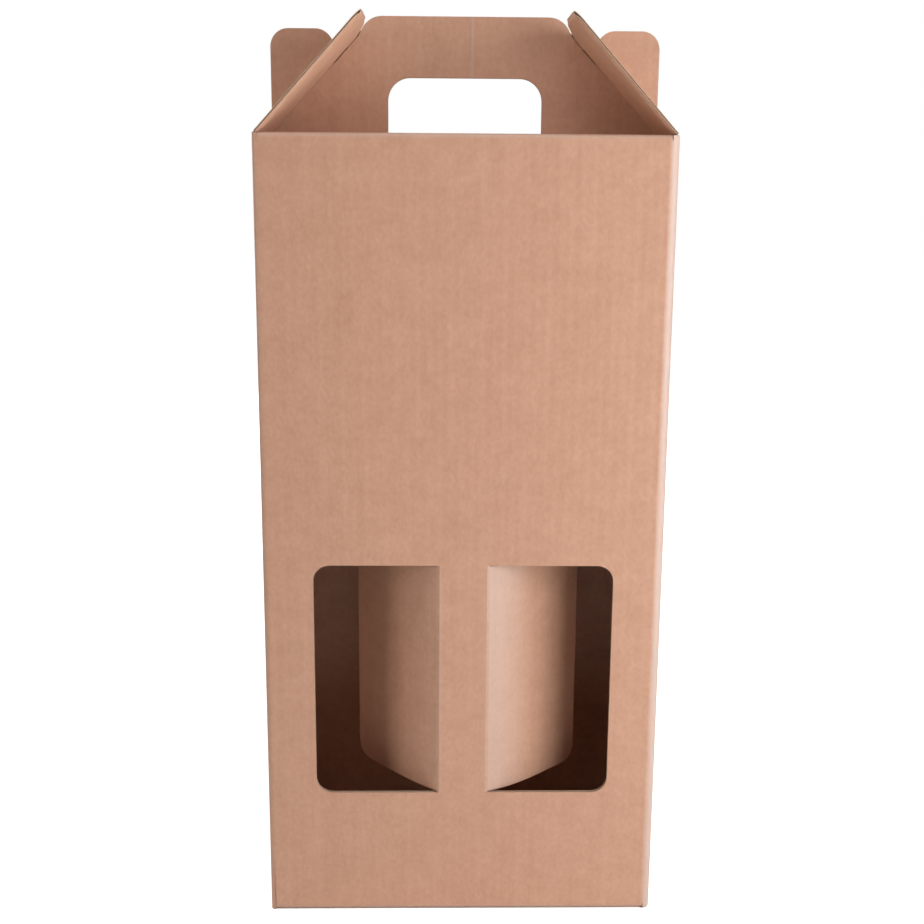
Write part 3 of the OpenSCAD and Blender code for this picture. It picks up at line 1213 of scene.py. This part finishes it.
    def grip_share(self, flat: np.ndarray) -> np.ndarray:
        """Tell how near flat points of the front are to the ridge of the grip's crease.

        Args:
            flat: Points of the flat sheet in millimetres.

        Returns:
            Share from 0 beside the crease to 1 on its ridge.
        """
        s = self.sizes
        aside = np.abs(flat[:, 0] - s.grip_crease_x) / s.grip_crease_half
        return np.clip(1 - aside, 0, 1) * (flat[:, 1] > self.v_handle(Leg.FRONT, s.lid_top + s.lid_bend))

    def worn(self, flat: np.ndarray) -> np.ndarray:
        """Tell how pale the paper is painted at the folds: wear, and a painted highlight at the right corner.

        Args:
            flat: Points of the flat sheet in millimetres.

        Returns:
            Paleness of each point, from 0 to 1.
        """
        s = self.sizes
        places = flat[:, 0] + self.u_zero
        # The right corner's paleness paints a highlight on top of its wear.
        wear = self.plan.bend_wear_and_highlight(places, (s.left_wear, s.right_wear_and_highlight, s.rear_wear, s.rear_wear))
        for leg, profile in self.profiles.items():
            here = self.on_panel(leg, places, flat[:, 1])
            heights = flat[here, 1] + profile.flat(Run.WALL, 0)
            level = profile.bend_wear_and_highlight(heights, [s.level_wear] * len(profile.bends))
            wear[here] = np.maximum(wear[here], level)
        return np.maximum(wear, s.grip_crease_wear * self.grip_share(flat))

    def build(self) -> bpy.types.Object:
        """Cut, score and fold the sheet.

        Returns:
            The folded sheet, which stands for the carton's fixed node.
        """
        s = self.sizes
        holes = [self.window(hand) for hand in Hand] + [self.hand_hole(leg) for leg in (Leg.FRONT, Leg.BACK)]
        sheet = self.board.die_cut("carton_board", self.outline(), holes)
        uprights = self.plan.crease_lines(-self.u_zero)
        strips = {Leg.LEFT: self.side_strips, Leg.RIGHT: self.side_strips, Leg.BACK: self.back_strips}
        for leg, count in strips.items():
            start, end = self.plan.span(leg)
            uprights += [start + (end - start) * i / count - self.u_zero for i in range(1, count)]
        uprights += [s.grip_crease_x + s.grip_crease_half * share for share in self.grip_lines]
        rows = [s.lid_top * i / self.wall_rows for i in range(1, self.wall_rows)]
        self.board.score(sheet, uprights, rows)
        for leg, profile in self.profiles.items():
            start, end = (place - self.u_zero for place in self.panel_span(leg))
            self.board.score(sheet, [], profile.crease_lines(-profile.flat(Run.WALL, 0)), (start, end))
        self.board.fold_up(sheet, self.fold, self.worn)
        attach(sheet, "carton")
        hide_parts("carton_body")
        return sheet


@dataclass
class Crease:
    """Crushed strip of board where a flap hinges. Its fold at rest is in radians."""

    name: str
    sizes: CartonSizes
    board: Board
    fold: float
    strips: int = 8
    smooth_deg: float = 40.0

    def section(self) -> list[tuple[float, float]]:
        """Draw the strip's section about the hinge axis.

        Returns:
            Closed outline, as depth into the carton and distance along the wall.
        """
        half, reach, fold = self.sizes.board / 2, self.sizes.hinge_reach, self.fold
        along = np.array([math.sin(fold), math.cos(fold)])
        inward = np.array([math.cos(fold), -math.sin(fold)])
        outer = [(-half, -reach)]
        for i in range(self.strips + 1):
            turned = fold * i / self.strips
            outer.append((-half * math.cos(turned), half * math.sin(turned)))
        flap_outer, flap_inner = along * reach - inward * half, along * reach + inward * half
        corner = np.array([math.cos(fold / 2), -math.sin(fold / 2)]) * half / math.cos(fold / 2)
        wall_inner = np.array([half, -reach])
        inside = [flap_inner, (flap_inner + corner) / 2, corner, (wall_inner + corner) / 2, wall_inner]
        return outer + [tuple(flap_outer)] + [tuple(point) for point in inside]

    def build(self, ends: tuple[float, float], place: Callable[[np.ndarray], np.ndarray],
              pattern: Callable[[np.ndarray], np.ndarray], bodies: tuple[str, str]) -> bpy.types.Object:
        """Make the strip between the carton and its flap.

        Args:
            ends: Where the strip starts and ends along the hinge axis.
            place: Turns section points with their place along the axis into points in metres.
            pattern: Turns the same points into places of the flat board in millimetres.
            bodies: The body before the hinge and the body after it; not used.

        Returns:
            The strip.
        """
        strip = prism(self.name, self.section(), *ends)
        mesh = strip.data
        local = np.array([vertex.co for vertex in mesh.vertices])
        self.board.paper(mesh, pattern(local), np.full(len(local), self.sizes.level_wear.most / 2))
        along = Vector((math.sin(self.fold / 2), math.cos(self.fold / 2)))
        for face in mesh.polygons:
            side = face.normal.to_2d()
            face.material_index = int(Face.CUT)
            if abs(face.normal.z) < 1 - FACING and abs(side @ along) < FACING:
                face.material_index = int(Face.OUTER if side.x < 0 else Face.INNER)
        mesh.vertices.foreach_set("co", place(local).astype(np.float32).ravel())
        mesh.update()
        face_outwards(strip)
        bpy.ops.object.shade_smooth_by_angle(angle=math.radians(self.smooth_deg))
        reach, middle = self.sizes.hinge_reach, sum(ends) / 2
        flap_end = [reach * math.sin(self.fold), reach * math.cos(self.fold), middle]
        limits = place(np.array([[0, -reach, middle], flap_end]))
        tuple(limits[0])
        tuple(limits[1])
        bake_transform(strip)
        LOG.info("%s: %d faces", self.name, len(mesh.polygons))
        return strip


@dataclass
class SideFlap:
    """Gable flap of a side wall: a slot for the ear, a bridge and two prongs, locked over the lid."""

    hand: Hand
    carton: CartonSheet
    inset: float = 0.8
    prong: float = 8.0
    prong_mouth: float = 30.0
    prong_corner: float = 6.0
    crease_gap: float = 0.1

    @property
    def leg(self) -> Leg:
        """Wall that the flap grows from."""
        return Leg.LEFT if self.hand is Hand.LEFT else Leg.RIGHT

    @property
    def body(self) -> str:
        """Name of the flap's body and node."""
        return f"{self.hand.name.lower()}_side_flap"

    def u(self, y: float) -> float:
        """Find the flat place of a point of the flap.

        Args:
            y: Distance of the point behind the carton's middle plane.

        Returns:
            Its place across the flutes.
        """
        s = self.carton.sizes
        if self.hand is Hand.RIGHT:
            return self.carton.u(self.leg, s.depth / 2 + y)
        return self.carton.u(self.leg, s.depth / 2 - s.rear_corner - s.board - y)

    def corner(self, slope: float, y: float, radius: float = 0.0) -> Corner:
        """Return a corner of the die line, by its distance from the hinge axis and from the middle plane."""
        return Corner(self.u(y), self.carton.sizes.hinge_height + slope, radius)

    def fold(self, flat: np.ndarray) -> np.ndarray:
        """Lean the flat flap over the lid.

        Args:
            flat: Points of the flat board in millimetres.

        Returns:
            Points of the leaning flap in metres.
        """
        s = self.carton.sizes
        slope, inset = flat[:, 1] - s.hinge_height, -flat[:, 2] - s.board / 2
        depth = s.board / 2 + slope * math.cos(s.lean) + inset * math.sin(s.lean)
        height = s.hinge_height + slope * math.sin(s.lean) - inset * math.cos(s.lean)
        x = self.hand.value * (s.width / 2 - depth)
        y = self.hand.value * (flat[:, 0] - self.u(0))
        return np.column_stack([x, y, height]) * MM

    def build(self) -> bpy.types.Object:
        """Cut the flap, lean it in and add its crease.

        Returns:
            The flap's board, which stands for its node.
        """
        s = self.carton.sizes
        lid_edge = s.hinge_x - s.lid_half
        slot_start = (lid_edge - math.sin(s.lean) * s.board / 2) / math.cos(s.lean) - s.slot_gap
        slot_end = s.slot_end
        slot_half = s.panel_face + s.slot_gap
        notch = slot_end + s.bridge
        tip = notch + self.prong
        half = s.depth / 2 - self.inset
        mouth = self.prong_mouth / 2
        outline = [
            self.corner(s.hinge_reach, -half),
            self.corner(tip, -half, self.prong_corner),
            self.corner(tip, -mouth, self.prong_corner),
            self.corner(notch, -slot_half),
            self.corner(notch, slot_half),
            self.corner(tip, mouth, self.prong_corner),
            self.corner(tip, half, self.prong_corner),
            self.corner(s.hinge_reach, half),
        ]
        slot = [
            self.corner(slot_start, -slot_half),
            self.corner(slot_end, -slot_half),
            self.corner(slot_end, slot_half),
            self.corner(slot_start, slot_half),
        ]
        board = self.carton.board
        flap = board.die_cut(f"{self.body}_board", outline, [slot])
        low, high = sorted((self.u(-half), self.u(half)))
        board.score(flap, board.crush_lines(low, 1) + board.crush_lines(high, -1),
                    board.crush_lines(s.hinge_height + tip, -1))

        def pinch(flat: np.ndarray) -> np.ndarray:
            """Return how far the flap's sides and prong ends are crushed."""
            aside = np.minimum(flat[:, 0] - low, high - flat[:, 0])
            return board.edge_share(np.minimum(aside, s.hinge_height + tip - flat[:, 1]))

        board.fold_up(flap, self.fold, pinch=pinch)
        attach(flap, self.body)
        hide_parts(self.body)
        self.build_crease()
        return flap

    def build_crease(self) -> None:
        """Add the strip between the side wall and the flap, from one corner post to the other."""
        s = self.carton.sizes
        sign = self.hand.value
        start, end = (place - self.carton.u_zero - self.u(0) for place in self.carton.plan.span(self.leg))

        def place(local: np.ndarray) -> np.ndarray:
            """Return points of the strip in metres."""
            x = sign * (s.hinge_x - local[:, 0])
            return np.column_stack([x, sign * local[:, 2], s.hinge_height + local[:, 1]]) * MM

        def pattern(local: np.ndarray) -> np.ndarray:
            """Return the strip's places on the flat board."""
            level = -local[:, 0] - s.board / 2
            return np.column_stack([local[:, 2] + self.u(0), s.hinge_height + local[:, 1], level])

        name = f"{self.hand.name.lower()}_side_crease"
        strip = Crease(name, s, self.carton.board, math.pi / 2 - s.lean)
        strip.build((start + self.crease_gap, end - self.crease_gap), place, pattern, ("carton", self.body))


@dataclass
class WindowFlap:
    """A window's own board, cut on three sides and folded in at the mullion, with a slight bow."""

    hand: Hand
    carton: CartonSheet
    bow: float
    # Painted sheen beside the fold, from 0 to 1: the pale colour stands in for the key light glancing off the
    # flap.
    wear: float
    painted_sheen_reach: float = 26.0
    kerf: float = 0.6
    strips: int = 18

    @property
    def body(self) -> str:
        """Name of the flap's body and node."""
        return f"{self.hand.name.lower()}_window_flap"

    @property
    def angle(self) -> float:
        """Angle in radians by which the flap is folded in at rest."""
        return math.radians(-joint_named(f"{self.body}_fold")["range_deg"][0])

    @property
    def free(self) -> float:
        """Distance of the flap's free edge from its crease."""
        return self.carton.sizes.window_width - self.kerf

    @property
    def rise(self) -> float:
        """Slope at the start of the bow, whose curve rises to 4/27 of it at a third of the width."""
        return 27 / 4 * self.bow / (self.free - self.carton.sizes.hinge_reach)

    @property
    def crease_angle(self) -> float:
        """Angle in radians by which the crease itself is folded."""
        return self.angle - math.atan(self.rise)

    def fold(self, flat: np.ndarray) -> np.ndarray:
        """Fold the flat flap in about its crease.

        Args:
            flat: Points of the flat board in millimetres.

        Returns:
            Points of the folded flap in metres.
        """
        s = self.carton.sizes
        along = self.hand.value * flat[:, 0] - s.mullion / 2 - s.hinge_reach
        width = self.free - s.hinge_reach
        share = np.clip(along / width, 0, 1)
        tilt = np.arctan(self.rise * (1 - share) * (1 - 3 * share))
        inset = -flat[:, 2] - s.board / 2
        onward = along + inset * np.sin(tilt)
        inward = inset * np.cos(tilt) - self.rise * width * share * (1 - share) ** 2
        x = s.mullion / 2 + s.hinge_reach * math.cos(self.crease_angle)
        depth = s.board / 2 + s.hinge_reach * math.sin(self.crease_angle)
        x = x + onward * math.cos(self.angle) - inward * math.sin(self.angle)
        depth = depth + onward * math.sin(self.angle) + inward * math.cos(self.angle)
        return np.column_stack([self.hand.value * x, depth - s.depth / 2, flat[:, 1]]) * MM

    def build(self) -> bpy.types.Object:
        """Cut the flap, fold it in and add its crease.

        Returns:
            The flap's board, which stands for its node.
        """
        s = self.carton.sizes
        sign = self.hand.value
        crease = s.mullion / 2
        free = crease + self.free
        foot, top = s.window_sill + self.kerf, s.window_sill + s.window_height - self.kerf
        outline = [
            Corner(sign * (crease + s.hinge_reach), foot),
            Corner(sign * free, foot, s.window_corner),
            Corner(sign * free, top, s.window_corner),
            Corner(sign * (crease + s.hinge_reach), top),
        ]
        board = self.carton.board
        flap = board.die_cut(f"{self.body}_board", outline)
        bends = [sign * (crease + self.free * i / self.strips) for i in range(1, self.strips)]
        board.score(flap, bends + board.crush_lines(sign * free, -sign), [])

        def pinch(flat: np.ndarray) -> np.ndarray:
            """Return how far the flap's free edge is crushed."""
            return board.edge_share(free - sign * flat[:, 0])

        def worn(flat: np.ndarray) -> np.ndarray:
            """Return the painted sheen beside the fold, palest at the crease."""
            return self.wear * np.clip(1 - (sign * flat[:, 0] - crease) / self.painted_sheen_reach, 0, 1)

        board.fold_up(flap, self.fold, worn, pinch)
        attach(flap, self.body)
        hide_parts(self.body)
        self.build_crease()
        return flap

    def build_crease(self) -> None:
        """Add the strip between the mullion and the flap, from the window's sill to its top."""
        s = self.carton.sizes
        sign = self.hand.value

        def place(local: np.ndarray) -> np.ndarray:
            """Return points of the strip in metres."""
            x = sign * (s.mullion / 2 + local[:, 1])
            return np.column_stack([x, local[:, 0] + s.board / 2 - s.depth / 2, local[:, 2]]) * MM

        def pattern(local: np.ndarray) -> np.ndarray:
            """Return the strip's places on the flat board."""
            level = -local[:, 0] - s.board / 2
            return np.column_stack([sign * (s.mullion / 2 + local[:, 1]), local[:, 2], level])

        name = f"{self.hand.name.lower()}_window_crease"
        strip = Crease(name, s, self.carton.board, self.crease_angle)
        ends = (s.window_sill, s.window_sill + s.window_height)
        strip.build(ends, place, pattern, ("carton", self.body))


@dataclass(frozen=True)
class Lamp:
    """A soft box: where it hangs, what it is turned to, how wide, how tall and how strong it is."""

    name: str
    spot: tuple[float, float, float]
    aim: tuple[float, float, float]
    width: float
    height: float
    watts: float
    colour: str = WHITE

    def build(self) -> None:
        """Hang the lamp."""
        light = bpy.data.lights.new(self.name, "AREA")
        light.shape = "RECTANGLE"
        light.size = self.width
        light.size_y = self.height
        light.energy = self.watts
        light.color = srgb(self.colour)[:3]
        lamp = bpy.data.objects.new(self.name, light)
        bpy.context.scene.collection.objects.link(lamp)
        lamp.location = self.spot
        lamp.rotation_euler = (Vector(self.aim) - Vector(self.spot)).to_track_quat("-Z", "Y").to_euler()


@dataclass(frozen=True)
class Studio:
    """White table-top studio with the camera of the photograph."""

    camera_spot: tuple[float, float, float] = (-11.856, -595.436, 336.239)
    yaw_deg: float = 1.124
    pitch_deg: float = 12.161
    roll_deg: float = 0.42
    focal_pixels: float = 1279.195
    image_pixels: float = 924.0
    sensor: float = 36.0
    nearest: float = 0.01
    ambient: float = 0.05
    floor_size: float = 12.0
    floor_drop: float = 0.2
    floor_colour: str = "F4F3F1"
    floor_roughness: float = 0.9
    floor_gloss: float = 0.1
    # The floor is lifted towards white for the camera, by this much near the carton and fully farther out.
    floor_lift: float = 0.8
    lift_from: float = 0.2
    white_from: float = 1.0
    # Share of the carton's footprint within which the floor isn't lifted, so that it stays dark underneath.
    covered: float = 0.98
    lamps: tuple[Lamp, ...] = (
        Lamp("key_soft_box", (0.42, -0.42, 0.28), (0.0, -0.04, 0.23), 0.3, 0.6, 2.45),
        Lamp("side_soft_box", (0.75, -0.25, 0.35), (0.0, -0.04, 0.24), 0.4, 0.7, 2.8),
        Lamp("fill_soft_box", (-1.2, -0.7, 0.4), (0.0, -0.04, 0.2), 0.5, 0.8, 4.7, "FFF6EE"),
        Lamp("top_soft_box", (0.1, -0.3, 1.6), (0.0, 0.0, 0.2), 1.0, 1.0, 5.6),
        Lamp("top_left_soft_box", (-0.7, -0.2, 1.3), (0.0, 0.0, 0.3), 0.6, 0.6, 2.8),
        Lamp("rear_soft_box", (-0.5, 1.3, 0.7), (0.0, 0.04, 0.2), 1.0, 1.0, 8.5),
    )

    def build_camera(self) -> None:
        """Set the camera up at the photograph's place and angle."""
        yaw, pitch, roll = (math.radians(turn) for turn in (self.yaw_deg, self.pitch_deg, self.roll_deg))
        ahead = Vector((math.sin(yaw) * math.cos(pitch), math.cos(yaw) * math.cos(pitch), -math.sin(pitch)))
        right = Vector((math.cos(yaw), -math.sin(yaw), 0))
        up = right.cross(ahead)
        side = right * math.cos(roll) + up * math.sin(roll)
        top = up * math.cos(roll) - right * math.sin(roll)
        data = bpy.data.cameras.new("camera")
        data.sensor_width = self.sensor
        data.lens = self.focal_pixels / self.image_pixels * self.sensor
        data.clip_start = self.nearest
        camera = bpy.data.objects.new("camera", data)
        bpy.context.scene.collection.objects.link(camera)
        turn = Matrix((side, top, -ahead)).transposed().to_4x4()
        camera.matrix_world = Matrix.Translation(Vector(self.camera_spot) * MM) @ turn
        bpy.context.scene.camera = camera

    def build_world(self) -> None:
        """Light the scene evenly, and show white where a camera or mirror ray leaves it."""
        world = bpy.data.worlds.new("studio_white")
        bpy.context.scene.world = world
        world.use_nodes = True
        tree = world.node_tree
        rays = add_node(tree, "ShaderNodeLightPath", {}, {})
        seen = add_node(tree, "ShaderNodeMath", {"operation": "MAXIMUM"}, {
            0: rays.outputs["Is Camera Ray"], 1: rays.outputs["Is Glossy Ray"]})
        seen = add_node(tree, "ShaderNodeMath", {"operation": "MAXIMUM"}, {
            0: seen.outputs[0], 1: rays.outputs["Is Transmission Ray"]})
        strength = add_node(tree, "ShaderNodeMapRange", {}, {
            "Value": seen.outputs[0], "To Min": self.ambient, "To Max": 1.0})
        sky = tree.nodes["Background"]
        sky.inputs["Color"].default_value = srgb(WHITE)
        tree.links.new(strength.outputs[0], sky.inputs["Strength"])

    def build_floor(self) -> None:
        """Lay a white floor that keeps the object's soft shadow."""
        deselect_all()
        bpy.ops.mesh.primitive_grid_add(x_subdivisions=4, y_subdivisions=4, size=self.floor_size,
                                        location=(0, 0, -self.floor_drop * MM))
        floor = bpy.context.object
        floor.name = "floor"
        bpy.ops.object.transform_apply(location=True, rotation=True, scale=True)
        # Matt white paper, which shows the carton's soft shadow and no reflection.
        paint, tree, shader = new_material("white_paper_sweep")
        shader.inputs["Base Color"].default_value = srgb(self.floor_colour)
        shader.inputs["Roughness"].default_value = self.floor_roughness
        shader.inputs["Specular IOR Level"].default_value = self.floor_gloss
        shader.inputs["Emission Color"].default_value = srgb(WHITE)
        rays = add_node(tree, "ShaderNodeLightPath", {}, {})
        spot = add_node(tree, "ShaderNodeTexCoord", {}, {}).outputs["Object"]
        away = add_node(tree, "ShaderNodeVectorMath", {"operation": "LENGTH"}, {0: spot}).outputs["Value"]
        lift = add_node(tree, "ShaderNodeMapRange", {}, {
            "Value": away, "From Min": self.lift_from, "From Max": self.white_from,
            "To Min": self.floor_lift, "To Max": 1.0}).outputs[0]
        aside = add_node(tree, "ShaderNodeVectorMath", {"operation": "ABSOLUTE"}, {0: spot}).outputs["Vector"]
        ratio = add_node(tree, "ShaderNodeVectorMath", {"operation": "DIVIDE"}, {
            0: aside, 1: tuple(CAD_BOX[1])}).outputs["Vector"]
        sides = add_node(tree, "ShaderNodeSeparateXYZ", {}, {0: ratio}).outputs
        farther = add_node(tree, "ShaderNodeMath", {"operation": "MAXIMUM"}, {
            0: sides[0], 1: sides[1]}).outputs[0]
        clear = add_node(tree, "ShaderNodeMath", {"operation": "GREATER_THAN"}, {
            0: farther, 1: self.covered}).outputs[0]
        for limit in (clear, rays.outputs["Is Camera Ray"]):
            lift = add_node(tree, "ShaderNodeMath", {"operation": "MULTIPLY"}, {0: lift, 1: limit}).outputs[0]
        tree.links.new(lift, shader.inputs["Emission Strength"])
        floor.data.materials.append(paint)

    def build(self) -> None:
        """Set up the whole studio."""
        bpy.context.scene.view_settings.view_transform = "Standard"
        self.build_camera()
        self.build_world()
        self.build_floor()
        for lamp in self.lamps:
            lamp.build()
        LOG.info("studio: camera, floor and %d lamps", len(self.lamps))


def main() -> None:
    """Build the carton, its flaps and the studio, in that order."""
    logging.basicConfig(level=logging.INFO, format="%(name)s: %(message)s")
    sizes = CartonSizes.from_frame()
    board = Board(thickness=sizes.board)
    board.dress()
    carton = CartonSheet(sizes, board)
    carton.build()
    # Only the right window flap gets painted sheen beside its fold, where the key light glances off it.
    flaps = (
        SideFlap(Hand.LEFT, carton), WindowFlap(Hand.LEFT, carton, bow=1.4, wear=0.0),
        SideFlap(Hand.RIGHT, carton), WindowFlap(Hand.RIGHT, carton, bow=2.6, wear=0.6),
    )
    for flap in flaps:
        flap.build()
    Studio().build()


if __name__ == "__main__":
    main()
